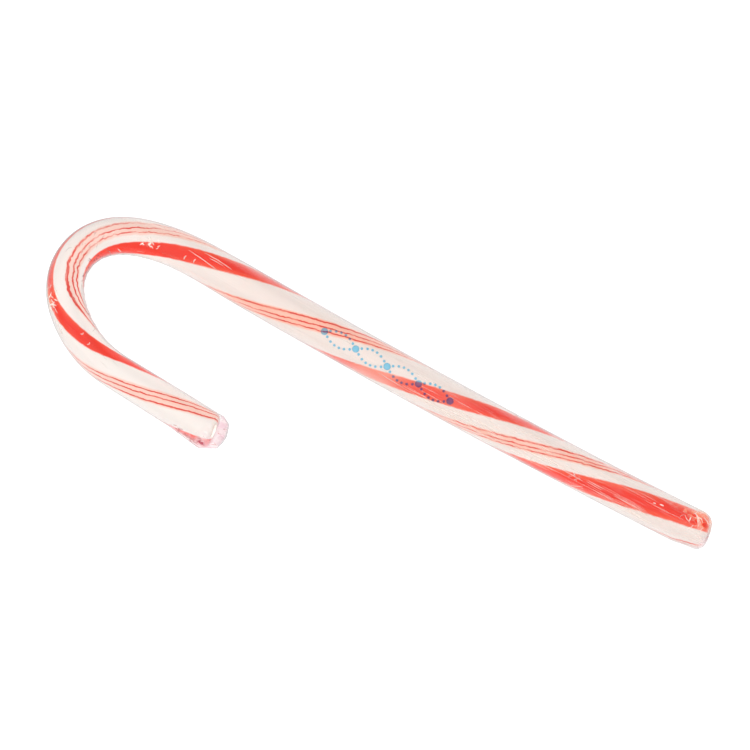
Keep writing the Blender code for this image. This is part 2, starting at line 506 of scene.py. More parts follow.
def grainGroup():
    # fine fibres drawn out along the stick, from 0 to 1 around 0.5
    inputs = [("Spot", "Vector"), ("Fineness", "Float"), ("Stretch", "Float"), ("Seed", "Float")]
    tree, given, result = newTree("pulledGrain", "ShaderNodeTree", inputs, [("Grain", "Float")])
    parts = addNode(tree, "ShaderNodeSeparateXYZ")
    tree.links.new(given["Spot"], parts.inputs[0])
    spot = addNode(tree, "ShaderNodeCombineXYZ")
    for axis, scale in enumerate(("Fineness", "Fineness", "Stretch")):
        tree.links.new(maths(tree, "MULTIPLY", parts.outputs[axis], given[scale]), spot.inputs[axis])
    settings = {"Scale": 1.0, "Detail": 4.0, "Roughness": 0.6}
    fibres = addNode(tree, "ShaderNodeTexNoise", settings, noise_dimensions="4D")
    tree.links.new(spot.outputs[0], fibres.inputs["Vector"])
    tree.links.new(given["Seed"], fibres.inputs["W"])
    tree.links.new(fibres.outputs[0], result["Grain"])
    return tree


# The candy's stripes: two red bands and two groups of thin wavering lines. Angles are in degrees
# round the stick, measured on the twisted candy, and distances along it in millimetres.

stripes = {
    "broad": {"centre": 0.0, "halfWidth": ((40, 31.2), (84, 24)), "seed": 3.1},
    "narrow": {
        "centre": 208.8,
        "halfWidth": ((108, 20.8), (116, 29), (128, 28), (137, 19.2), (147, 18), (152, 21.5), (160, 21), (168, 17.5)),
        "seed": 7.7,
    },
    "lineGroups": ({"centre": 108.7, "seed": 11.3}, {"centre": 288.0, "seed": 27.9}),
    "lineOffsets": (-13.3, 0.0, 10.6),
    "lineWidths": (5.5, 4.6, 4.3),
    "lineDrift": 0.075,
    "driftFrom": 86,
    "spread": {"from": 60, "to": 115, "end": 1.4},
    "unrest": {"from": 105, "to": 128, "calmFrom": 146, "calmTo": 160, "most": 1.7},
    "washWidth": 36,
    "washShare": ((3, 0.4), (16, 1.0), (34, 0.85), (60, 0.85), (74, 1.0), (108, 1.0), (122, 0.6), (146, 0.5), (158, 0.5), (172, 0.7)),
    "lineSwell": (
        *((20, 1.25), (32, 0.9), (58, 0.85), (72, 1.0), (118, 0.85)),
        *((130, 1.05), (142, 1.25), (156, 1.2), (168, 1.0)),
    ),
    "lineBreaks": ((26, 0.0), (36, 0.04), (58, 0.04), (70, 0.0), (108, 0.0), (118, 0.08), (136, 0.06), (146, 0.0)),
    "lineRag": ((104, 4.0), (116, 8.0), (136, 7.5), (150, 4.5)),
    "leastInk": (
        *((26, 0.6), (36, 0.35), (58, 0.35), (70, 0.5), (100, 0.5), (112, 0.1)),
        *((128, 0.15), (140, 0.5), (156, 0.6), (170, 0.5), (180, 0.75)),
    ),
    "heavyLine": {"group": 1, "line": 0, "middle": 146.5, "reach": 6.5, "extra": 1.6},
    "bandSoftness": 5.5,
    "lineSoftness": 1.5,
    "white": (0.80, 0.67, 0.60),
    "coolWhite": (0.78, 0.70, 0.67),
    # the white for the hook and tail: painted light, brighter because more light falls there
    "hookLitWhite": (0.82, 0.755, 0.715),
    "red": (0.84, 0.034, 0.011),
    "deepRed": (0.78, 0.020, 0.006),
    "edgeRed": (0.84, 0.085, 0.034),
    # the red made paler from 56 to 79 mm along: painted sheen of the film over it
    "sheenPaleRed": (0.88, 0.42, 0.33),
    "redSheen": ((50, 0.0), (56, 0.18), (62, 0.08), (66, 0.22), (70, 0.6), (75, 0.6), (79, 0.12), (84, 0.0)),
    "paleEdges": ((112, 1.0), (120, 0.2), (134, 0.2), (142, 1.2), (150, 1.1), (158, 0.35)),
    "wash": (0.90, 0.44, 0.32),
    "line": (0.71, 0.050, 0.030),
}


def stripeGroup():
    # the whole pattern, for the candy itself and for what shows through the ink over it
    bands, wanders = bandGroup(), wanderGroup()
    outputs = (("Colour", "Color"), ("Band", "Float"), ("Grain", "Float"))
    tree, given, result = newTree("stripePattern", "ShaderNodeTree", [("Spot", "Vector")], outputs)
    spot = given["Spot"]
    parts = addNode(tree, "ShaderNodeSeparateXYZ")
    tree.links.new(spot, parts.inputs[0])
    turn = maths(tree, "ARCTAN2", parts.outputs[1], parts.outputs[0])
    distance = parts.outputs[2]
    grain = useGroup(tree, grains, Spot=spot, Fineness=9.0, Stretch=0.10, Seed=4.0)
    fineGrain = useGroup(tree, grains, Spot=spot, Fineness=30.0, Stretch=0.35, Seed=8.0)
    rag = useGroup(tree, grains, Spot=spot, Fineness=12.0, Stretch=1.1, Seed=15.0)
    colour = mixColours(tree, fineGrain, stripes["white"], stripes["coolWhite"])
    # whiter from 100 mm on towards the hook and tail: painted light, standing in for the brighter light that falls
    # there
    hookLitShare = remap(tree, distance, 100.0, 150.0, 0.0, 0.9)
    colour = mixColours(tree, hookLitShare, colour, stripes["hookLitWhite"])

    # the thin lines: three to a group on a pale wash, which spread and waver more towards the hook
    spread, restless = stripes["spread"], stripes["unrest"]
    growth = remap(tree, distance, spread["from"], spread["to"], 1.0, spread["end"])
    unrest = remap(tree, distance, restless["from"], restless["to"], 1.0, restless["most"])
    calm = remap(tree, distance, restless["calmFrom"], restless["calmTo"], restless["most"], 0.8)
    unrest = maths(tree, "MINIMUM", unrest, calm)
    washShare = alongRamp(tree, distance, stripes["washShare"])
    swell = alongRamp(tree, distance, stripes["lineSwell"])
    leastInk = alongRamp(tree, distance, stripes["leastInk"])
    breaks = alongRamp(tree, distance, stripes["lineBreaks"])
    lineRag = maths(tree, "SUBTRACT", rag, 0.5)
    lineRag = maths(tree, "MULTIPLY", lineRag, alongRamp(tree, distance, stripes["lineRag"], 10.0))
    drift = maths(tree, "SUBTRACT", distance, stripes["driftFrom"])
    drift = maths(tree, "MULTIPLY", drift, -math.radians(stripes["lineDrift"]))
    drifted = maths(tree, "ADD", turn, drift)
    groupReach = maths(tree, "MULTIPLY", unrest, 3.6)
    lineReach = maths(tree, "MULTIPLY", unrest, 3.0)
    heavy = stripes["heavyLine"]
    nearness = maths(tree, "ABSOLUTE", maths(tree, "SUBTRACT", distance, heavy["middle"]))
    heavier = remap(tree, nearness, heavy["reach"] * 0.6, heavy["reach"], heavy["extra"], 0.0)
    for number, group in enumerate(stripes["lineGroups"]):
        waver = dict(Along=distance, Seed=group["seed"], Slow=0.09, SlowReach=2.5)
        waver.update(Quick=0.5, QuickReach=groupReach)
        groupTurn = useGroup(tree, wanders, Turn=drifted, **waver)
        half = maths(tree, "MULTIPLY_ADD", growth, stripes["washWidth"] / 2, -1.0)
        wash = useGroup(tree, bands, Turn=groupTurn, Centre=group["centre"] - 1, HalfWidth=half, Softness=6.0)
        strength = maths(tree, "MULTIPLY_ADD", grain, 0.8, 0.45, clamp=True)
        strength = maths(tree, "MULTIPLY", strength, washShare)
        colour = mixColours(tree, maths(tree, "MULTIPLY", wash, strength), colour, stripes["wash"])
        for index, (offset, width) in enumerate(zip(stripes["lineOffsets"], stripes["lineWidths"])):
            centre = maths(tree, "MULTIPLY_ADD", growth, offset, group["centre"])
            own = dict(Along=distance, Seed=group["seed"] * 3 + index * 9, Slow=0.25, SlowReach=3.0)
            lineTurn = useGroup(tree, wanders, Turn=groupTurn, Quick=1.1, QuickReach=lineReach, **own)
            half = maths(tree, "MULTIPLY_ADD", swell, width / 2, lineRag)
            if (number, index) == (heavy["group"], heavy["line"]):
                half = maths(tree, "ADD", half, heavier)
            softness = stripes["lineSoftness"]
            line = useGroup(tree, bands, Turn=lineTurn, Centre=centre, HalfWidth=half, Softness=softness)
            dashes = useGroup(tree, grains, Spot=spot, Fineness=7.0, Stretch=0.35, Seed=30.0 + index)
            inked = remap(tree, maths(tree, "SUBTRACT", dashes, breaks), 0.34, 0.52, leastInk, 1.0)
            colour = mixColours(tree, maths(tree, "MULTIPLY", line, inked), colour, stripes["line"])

    # the two red bands, paler towards their edges
    red = mixColours(tree, grain, stripes["deepRed"], stripes["red"])
    bandMask, coreMask = 0.0, 0.0
    for name in ("broad", "narrow"):
        band = stripes[name]
        half = alongRamp(tree, distance, band["halfWidth"], 40.0)
        ragged = maths(tree, "MULTIPLY_ADD", rag, 5.0, -2.5)
        waver = dict(Along=distance, Seed=band["seed"], Slow=0.09, SlowReach=1.5, Quick=0.55, QuickReach=1.6)
        bandTurn = useGroup(tree, wanders, Turn=turn, **waver)
        edge = maths(tree, "ADD", half, ragged)
        place = dict(Turn=bandTurn, Centre=band["centre"])
        mask = useGroup(tree, bands, HalfWidth=edge, Softness=stripes["bandSoftness"], **place)
        core = useGroup(tree, bands, HalfWidth=maths(tree, "MULTIPLY", half, 0.62), Softness=20.0, **place)
        bandMask = maths(tree, "MAXIMUM", mask, bandMask)
        coreMask = maths(tree, "MAXIMUM", core, coreMask)
    edgeShare = maths(tree, "MULTIPLY_ADD", fineGrain, 0.5, 0.70)
    edgeShare = maths(tree, "SUBTRACT", edgeShare, coreMask, clamp=True)
    edgeShare = maths(tree, "MULTIPLY", edgeShare, alongRamp(tree, distance, stripes["paleEdges"]), clamp=True)
    red = mixColours(tree, edgeShare, red, stripes["edgeRed"])
    # the red paler from 56 to 79 mm along: painted sheen of the film shining over the band
    red = mixColours(tree, alongRamp(tree, distance, stripes["redSheen"]), red, stripes["sheenPaleRed"])
    tree.links.new(mixColours(tree, bandMask, colour, red), result["Colour"])
    tree.links.new(bandMask, result["Band"])
    tree.links.new(grain, result["Grain"])
    return tree


def usePattern(tree):
    node = addNode(tree, "ShaderNodeGroup", node_tree=pattern)
    spot = addNode(tree, "ShaderNodeAttribute", attribute_name="stripeSpot")
    return join(tree, spot, node, output="Vector").outputs


def candyMaterial():
    material, tree, shader = newMaterial(
        "pulledCandy",
        **{
            "IOR": 1.5,
            "Coat Weight": 1.0,
            "Coat Roughness": 0.05,
            "Coat IOR": 1.5,
            "Subsurface Weight": 0.12,
            "Subsurface Scale": 0.0012,
            "Subsurface Radius": (1.0, 0.45, 0.35),
        },
    )
    stripesHere = usePattern(tree)
    tree.links.new(stripesHere["Colour"], shader.inputs["Base Color"])
    tree.links.new(maths(tree, "MULTIPLY_ADD", stripesHere["Grain"], 0.16, 0.22), shader.inputs["Roughness"])
    relief = addNode(tree, "ShaderNodeBump", {"Strength": 0.35, "Distance": 0.00008})
    height = maths(tree, "MULTIPLY_ADD", stripesHere["Band"], 0.35, stripesHere["Grain"])
    tree.links.new(height, relief.inputs["Height"])
    tree.links.new(relief.outputs[0], shader.inputs["Normal"])
    return material


candy = {
    "sides": 112,
    "ringSpacing": 0.33 * mm,
    "domeRings": 14,
    "pastFoot": 0.0,
    "pastTail": 0.0,
    "footDome": 2.6 * mm,
    "tailDome": 1.9 * mm,
    "footSquareness": 3.0,
    "tailSquareness": 3.0,
    "lift": 0.0,
    "reliefDepth": 0.10 * mm,
    "reliefSize": 2.2,
    "reliefStretch": 60.0,
    "seed": 5.0,
    "mapStrips": 3,
    "mapGap": 1.0 * mm,
}


def makeCandy(material):
    mesh = sweepPiece("candyStick", candy, material)
    distance = readAlong(mesh, candy)
    points = readPoints(mesh)
    turn = turnAt(points, distance)
    writePoints(mesh, leanTail(leanFoot(points)), 0.02 * mm)
    storeSpot(mesh, "stripeSpot", turn - along("twist", distance), distance)
    layStripMap(mesh, distance, turn, candy["mapStrips"], candy["mapGap"])
    piece = newObject("candyStick", mesh)
    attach(piece, "root")
    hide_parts("candy_cane")


# The clear film: one closed skin, tight along the stick and gathered past its two ends.

film = {
    "sides": 132,
    "ringSpacing": 0.34 * mm,
    "domeRings": 26,
    "pastFoot": 0.45 * mm,
    "pastTail": 2.1 * mm,
    "footDome": 3.0 * mm,
    "tailDome": 2.2 * mm,
    "footSquareness": 3.0,
    "tailSquareness": 5.0,
    "lift": 0.07 * mm,
    "reliefDepth": 0.05 * mm,
    "reliefSize": 1.7,
    "reliefStretch": 320.0,
    "seed": 9.0,
    "mapStrips": 3,
    "mapGap": 1.0 * mm,
    "footPleats": 11,
    "tailPleats": 7,
    "tailFacets": (  # distance at the middle, and how much further for each millimetre inwards
        (191.95 * mm, -0.36),
        (191.90 * mm, 0.22),
        (195.15 * mm, 1.66),
        (196.2 * mm, -1.85),
    ),
    "crumples": (  # where the film is crumpled: distance, reach, turn, reach, strength
        (1.4 * mm, 3.6 * mm, math.radians(-42), math.radians(42), 1.0),
        (7.0 * mm, 4.0 * mm, math.radians(-40), math.radians(12), 0.55),
        (124.2 * mm, 2.4 * mm, math.radians(10), math.radians(18), 0.55),
        (148.0 * mm, 2.4 * mm, math.radians(-44), math.radians(24), 0.9),
        (184.5 * mm, 5.5 * mm, math.radians(-62), math.radians(22), 0.9),
    ),
    "crumpleSize": 1.1,
    "warmFolds": (1.0, 0.42, 0.24),
    "pinkFolds": (0.96, 0.60, 0.62),
    "footColour": (0.93, 0.70, 0.71),
    "scuffColour": (0.90, 0.81, 0.78),
    "haze": 0.012,
    # how fast the haze grows at a slant: the film's real haze and a painted sheen at the stick's edges
    "slantHazeAndSheen": 2.6,
    "gatherHaze": 0.85,
    # the pale streaks: scuffs in the film and painted highlights of its fine wrinkles
    "streakHazeAndGlint": 0.32,
    "clings": ((20, 0.0), (27, 0.8), (36, 0.8), (43, 0.0), (110, 0.0), (124, 1.0), (170, 0.9), (182, 0.5)),
    "cloudColour": (0.80, 0.57, 0.63),
    "paleCloud": (0.87, 0.74, 0.74),
    "shadowShare": 0.3,
    "roughness": 0.09,
}


def gatherFilm(points, distance, turn):
    # pleats near both ends, and fine wrinkles on the inside of the hook
    length = stick["length"]
    footFade = smoothStep((5.0 * mm - distance) / (4.5 * mm))
    tailFade = smoothStep((distance - length + 4.0 * mm) / (3.6 * mm))
    forward = forwardAt(distance)
    outward = points - centreAt(distance)
    outward -= (outward * forward).sum(1)[:, None] * forward
    radius = np.linalg.norm(outward, axis=1)
    outward /= np.maximum(radius, 1e-9)[:, None]
    rim = smoothStep(radius / (1.2 * mm))
    footPleat = np.cos(film["footPleats"] * turn + 900 * distance + 0.9 * np.sin(2 * turn))
    tailPleat = np.abs(np.sin(film["tailPleats"] / 2 * turn - 350 * distance + 0.6 * np.sin(3 * turn + 1)))
    crown = smoothStep((distance - 118 * mm) / (16 * mm)) * smoothStep((168 * mm - distance) / (14 * mm))
    innerSide = smoothStep((np.sin(turn) - 0.35) / 0.6)
    wrinkle = np.sin(distance / mm * 2.3 + 1.5 * np.sin(turn * 3 + distance / mm * 0.35))
    push = 0.10 * mm * footFade * rim * footPleat
    push += 0.20 * mm * tailFade * rim * (tailPleat - 0.6)
    push += 0.04 * mm * crown * innerSide * wrinkle
    # the tail's film bulges on the outer side, and flat facets close it off
    lumpFade = smoothStep((distance - length + 9 * mm) / (6 * mm))
    push += 0.40 * mm * lumpFade * rim * bump(turn, -1.75, 0.6)
    points = points + outward * push[:, None]
    reach = distance.copy()
    inwards = ((points - centreAt(distance)) * inwardAt(distance)).sum(1)
    for middle, slope in film["tailFacets"]:
        reach = np.minimum(reach, middle + slope * inwards)
    points = points + forward * (reach - distance)[:, None]
    footGather = smoothStep((2.2 * mm - distance) / (2.2 * mm)) * (0.10 + 0.40 * smoothStep(turn * 1.5))
    early = 0.4 * mm + 0.8 * mm * bump(turn, 1.4, 1.1)
    tailGather = smoothStep((distance - length + early) / (0.8 * mm))
    outerEnd = 0.92 * smoothStep((distance - length + 3.6 * mm) / (1.4 * mm)) * bump(turn, -1.15, 0.8)
    lump = 0.45 * lumpFade * bump(turn, -1.65, 0.45)
    return points, np.maximum.reduce([footGather, tailGather, outerEnd, lump])


def crumpleAt(distance, turn):
    strength = np.zeros(len(distance))
    for middle, reach, side, sideReach, most in film["crumples"]:
        strength += most * bump(distance, middle, reach) * bump(turn, side, sideReach)
    return smoothStep((strength - 0.2) / 0.6)


def mixShaders(tree, share, first, second):
    mixer = addNode(tree, "ShaderNodeMixShader")
    for value, socket in zip((share, first.outputs[0], second.outputs[0]), mixer.inputs):
        tree.links.new(value, socket)
    return mixer


def filmMaterial():
    # clear where it is stretched tight, cloudy where it is gathered, and mirroring on both its faces
    material, tree, cloud = newMaterial("clearFilm", **{"Roughness": 0.4, "Specular IOR Level": 0.0})
    clear = addNode(tree, "ShaderNodeBsdfTransparent")
    gloss = addNode(tree, "ShaderNodeBsdfGlossy", {"Roughness": film["roughness"]})
    gather = addNode(tree, "ShaderNodeAttribute", attribute_name="gather").outputs["Fac"]
    crumple = addNode(tree, "ShaderNodeAttribute", attribute_name="crumple").outputs["Fac"]
    attribute = addNode(tree, "ShaderNodeAttribute", attribute_name="filmSpot")
    spot = attribute.outputs["Vector"]
    parts = addNode(tree, "ShaderNodeSeparateXYZ")
    tree.links.new(spot, parts.inputs[0])
    distance = parts.outputs[2]
    inside = maths(tree, "SINE", maths(tree, "ARCTAN2", parts.outputs[1], parts.outputs[0]))
    rim = remap(tree, inside, 0.86, 0.96, 1.0, 0.0)
    inside = maths(tree, "MINIMUM", remap(tree, inside, 0.4, 0.75, 0.0, 1.0), rim)
    # fine pale streaks along the tight film, most of them on the foot's half of the shaft: partly scuffs in the film,
    # partly painted highlights of its fine wrinkles
    scuffsAndGlints = useGroup(tree, grains, Spot=spot, Fineness=22.0, Stretch=0.16, Seed=41.0)
    patches = useGroup(tree, grains, Spot=spot, Fineness=2.2, Stretch=0.09, Seed=52.0)
    scuffsAndGlints = remap(tree, scuffsAndGlints, 0.51, 0.66, 0.0, 1.0)
    patches = remap(tree, patches, 0.40, 0.62, 0.1, 1.0)
    nearFoot = alongRamp(tree, distance, ((40, 1.0), (70, 0.35), (95, 0.35), (115, 0.1)))
    scuffsAndGlints = maths(tree, "MULTIPLY", maths(tree, "MULTIPLY", scuffsAndGlints, patches), nearFoot)
    haze = maths(tree, "MULTIPLY_ADD", scuffsAndGlints, film["streakHazeAndGlint"], film["haze"])
    # more haze where the film is seen at a slant: partly the film's real haze, partly a painted sheen that whitens
    # the stick's edges
    facing = addNode(tree, "ShaderNodeLayerWeight", {"Blend": 0.5})
    slant = maths(tree, "SUBTRACT", 1.08, facing.outputs["Facing"])
    slant = maths(tree, "POWER", slant, film["slantHazeAndSheen"])
    haze = maths(tree, "DIVIDE", haze, slant)
    # inside the hook the film clings closest, and shows least
    loose = maths(tree, "MULTIPLY", alongRamp(tree, distance, film["clings"]), inside)
    loose = maths(tree, "SUBTRACT", 1.0, loose)
    haze = maths(tree, "MULTIPLY", haze, loose)
    # crumpled patches: flat facets, each a little cloudier or clearer than the next, with pale ridges
    cells = addNode(tree, "ShaderNodeCombineXYZ")
    for axis, scale in enumerate((4.0, 4.0, 0.8)):
        tree.links.new(maths(tree, "MULTIPLY", parts.outputs[axis], scale), cells.inputs[axis])
    facets = addNode(tree, "ShaderNodeTexVoronoi", {"Scale": film["crumpleSize"]})
    ridges = addNode(tree, "ShaderNodeTexVoronoi", {"Scale": film["crumpleSize"]}, feature="DISTANCE_TO_EDGE")
    for node in (facets, ridges):
        tree.links.new(cells.outputs[0], node.inputs["Vector"])
    tone = addNode(tree, "ShaderNodeSeparateXYZ")
    tree.links.new(facets.outputs["Color"], tone.inputs[0])
    folded = remap(tree, tone.outputs[0], 0.35, 1.0, 0.0, 0.45)
    folded = maths(tree, "ADD", folded, remap(tree, ridges.outputs["Distance"], 0.03, 0.10, 0.25, 0.0))
    folded = maths(tree, "MULTIPLY", folded, crumple)
    uneven = remap(tree, tone.outputs[1], 0.0, 1.0, 0.6 * film["gatherHaze"], film["gatherHaze"])
    cloudShare = maths(tree, "MAXIMUM", maths(tree, "MULTIPLY", gather, uneven), folded)
    cloudShare = maths(tree, "ADD", cloudShare, haze, clamp=True)
    # the cloudy parts still let most of the light through to the candy
    ray = addNode(tree, "ShaderNodeLightPath")
    seen = remap(tree, ray.outputs["Is Camera Ray"], 0.0, 1.0, film["shadowShare"], 1.0)
    cloudShare = maths(tree, "MULTIPLY", cloudShare, seen)
    tail = mixColours(tree, tone.outputs[2], film["cloudColour"], film["paleCloud"])
    gathered = mixColours(tree, remap(tree, distance, 3.0, 12.0, 0.0, 1.0), film["footColour"], tail)
    tint = mixColours(tree, remap(tree, gather, 0.0, 0.15, 0.0, 1.0), film["scuffColour"], gathered)
    folds = mixColours(tree, remap(tree, distance, 160.0, 175.0, 0.0, 1.0), film["warmFolds"], film["pinkFolds"])
    tree.links.new(mixColours(tree, crumple, tint, folds), cloud.inputs["Base Color"])
    # the same from outside and inside, so that light leaves the film as it came in
    glance = maths(tree, "POWER", facing.outputs["Facing"], 5.0)
    passed = maths(tree, "MULTIPLY_ADD", glance, -0.96, 0.96)
    mirrored = maths(tree, "SUBTRACT", 1.0, maths(tree, "MULTIPLY", passed, passed))
    mirrored = maths(tree, "MULTIPLY", mirrored, loose)
    relief = addNode(tree, "ShaderNodeBump", {"Strength": 0.5, "Distance": 0.00003})
    tree.links.new(scuffsAndGlints, relief.inputs["Height"])
    for shader in (cloud, gloss):
        tree.links.new(relief.outputs[0], shader.inputs["Normal"])
    skin = mixShaders(tree, mirrored, mixShaders(tree, cloudShare, clear, cloud), gloss)
    join(tree, skin, next(node for node in tree.nodes if node.type == "OUTPUT_MATERIAL"))
    return material


def makeFilm(material):
    mesh = sweepPiece("clearFilm", film, material)
    distance = readAlong(mesh, film)
    points = readPoints(mesh)
    turn = turnAt(points, distance)
    points, gather = gatherFilm(points, distance, turn)
    writePoints(mesh, leanFoot(points), 0.0)
    storeNumber(mesh, "gather", gather)
    storeNumber(mesh, "crumple", crumpleAt(distance, turn))
    storeSpot(mesh, "filmSpot", turn, distance)
    layStripMap(mesh, distance, turn, film["mapStrips"], film["mapGap"])
    piece = newObject("clearFilm", mesh)
    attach(piece, "root")
    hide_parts("film_foot_cap", "film_tail_cap")
    return piece


# Sharp creases in the film, each a low tapered ridge laid on the skin. The pale ones carry painted glints where the
# film catches the light, the dark ones painted shadow in the folds.


def layOnSkin(tree, skin, geometry, lift):
    # moves points to the nearest place on the skin, and off it along its normal
    target = addNode(tree, "GeometryNodeObjectInfo")
    tree.links.new(skin, target.inputs["Object"])
    nearest = addNode(tree, "GeometryNodeProximity", target_element="FACES")
    join(tree, target, nearest, output="Geometry")
    normal = addNode(tree, "GeometryNodeInputNormal")
    sample = addNode(tree, "GeometryNodeSampleNearestSurface", data_type="FLOAT_VECTOR")
    tree.links.new(target.outputs["Geometry"], sample.inputs["Mesh"])
    tree.links.new(normal.outputs[0], sample.inputs["Value"])
    raised = vectorMaths(tree, "SCALE", sample.outputs["Value"], lift)
    placed = addNode(tree, "GeometryNodeSetPosition")
    join(tree, geometry, placed)
    position = vectorMaths(tree, "ADD", nearest.outputs["Position"], raised)
    tree.links.new(position, placed.inputs["Position"])
    return placed


def creaseTree():
    inputs = (
        ("Geometry", "Geometry"),
        ("Skin", "Object"),
        ("Sides", "Int"),
        ("Sink", "Float"),
        ("Waver", "Float"),
        ("Waver Size", "Float"),
        ("Seed", "Float"),
        ("Material", "Material"),
    )
    tree, given, result = newTree("skinCreases", "GeometryNodeTree", inputs, [("Geometry", "Geometry")])
    halfWidth = addNode(tree, "GeometryNodeInputNamedAttribute", {"Name": "halfWidth"}, data_type="FLOAT")
    halfWidth = halfWidth.outputs["Attribute"]
    where = addNode(tree, "GeometryNodeInputPosition")
    waver = addNode(tree, "ShaderNodeTexNoise", {"Detail": 2.0}, noise_dimensions="4D")
    join(tree, where, waver, socket="Vector")
    tree.links.new(given["Waver Size"], waver.inputs["Scale"])
    tree.links.new(given["Seed"], waver.inputs["W"])
    stray = vectorMaths(tree, "SUBTRACT", waver.outputs["Color"], (0.5, 0.5, 0.5))
    strayed = addNode(tree, "GeometryNodeSetPosition")
    tree.links.new(given["Geometry"], strayed.inputs["Geometry"])
    tree.links.new(vectorMaths(tree, "SCALE", stray, given["Waver"]), strayed.inputs["Offset"])
    sunk = maths(tree, "MULTIPLY", halfWidth, maths(tree, "MULTIPLY", given["Sink"], -1.0))
    placed = layOnSkin(tree, given["Skin"], strayed, sunk)
    line = join(tree, placed, addNode(tree, "GeometryNodeMeshToCurve"))
    share = addNode(tree, "GeometryNodeSplineParameter").outputs["Factor"]
    taper = maths(tree, "MULTIPLY", share, maths(tree, "SUBTRACT", 1.0, share))
    taper = maths(tree, "POWER", maths(tree, "MULTIPLY", taper, 4.0), 0.6)
    ring = addNode(tree, "GeometryNodeCurvePrimitiveCircle", {"Radius": 1.0})
    tree.links.new(given["Sides"], ring.inputs["Resolution"])
    sweep = addNode(tree, "GeometryNodeCurveToMesh", {"Fill Caps": False})
    join(tree, line, sweep)
    join(tree, ring, sweep, socket="Profile Curve")
    tree.links.new(maths(tree, "MULTIPLY", halfWidth, taper), sweep.inputs["Scale"])
    closed = join(tree, sweep, addNode(tree, "GeometryNodeMergeByDistance", {"Distance": 1e-6}))
    finishTree(tree, given, result, closed)
    return tree


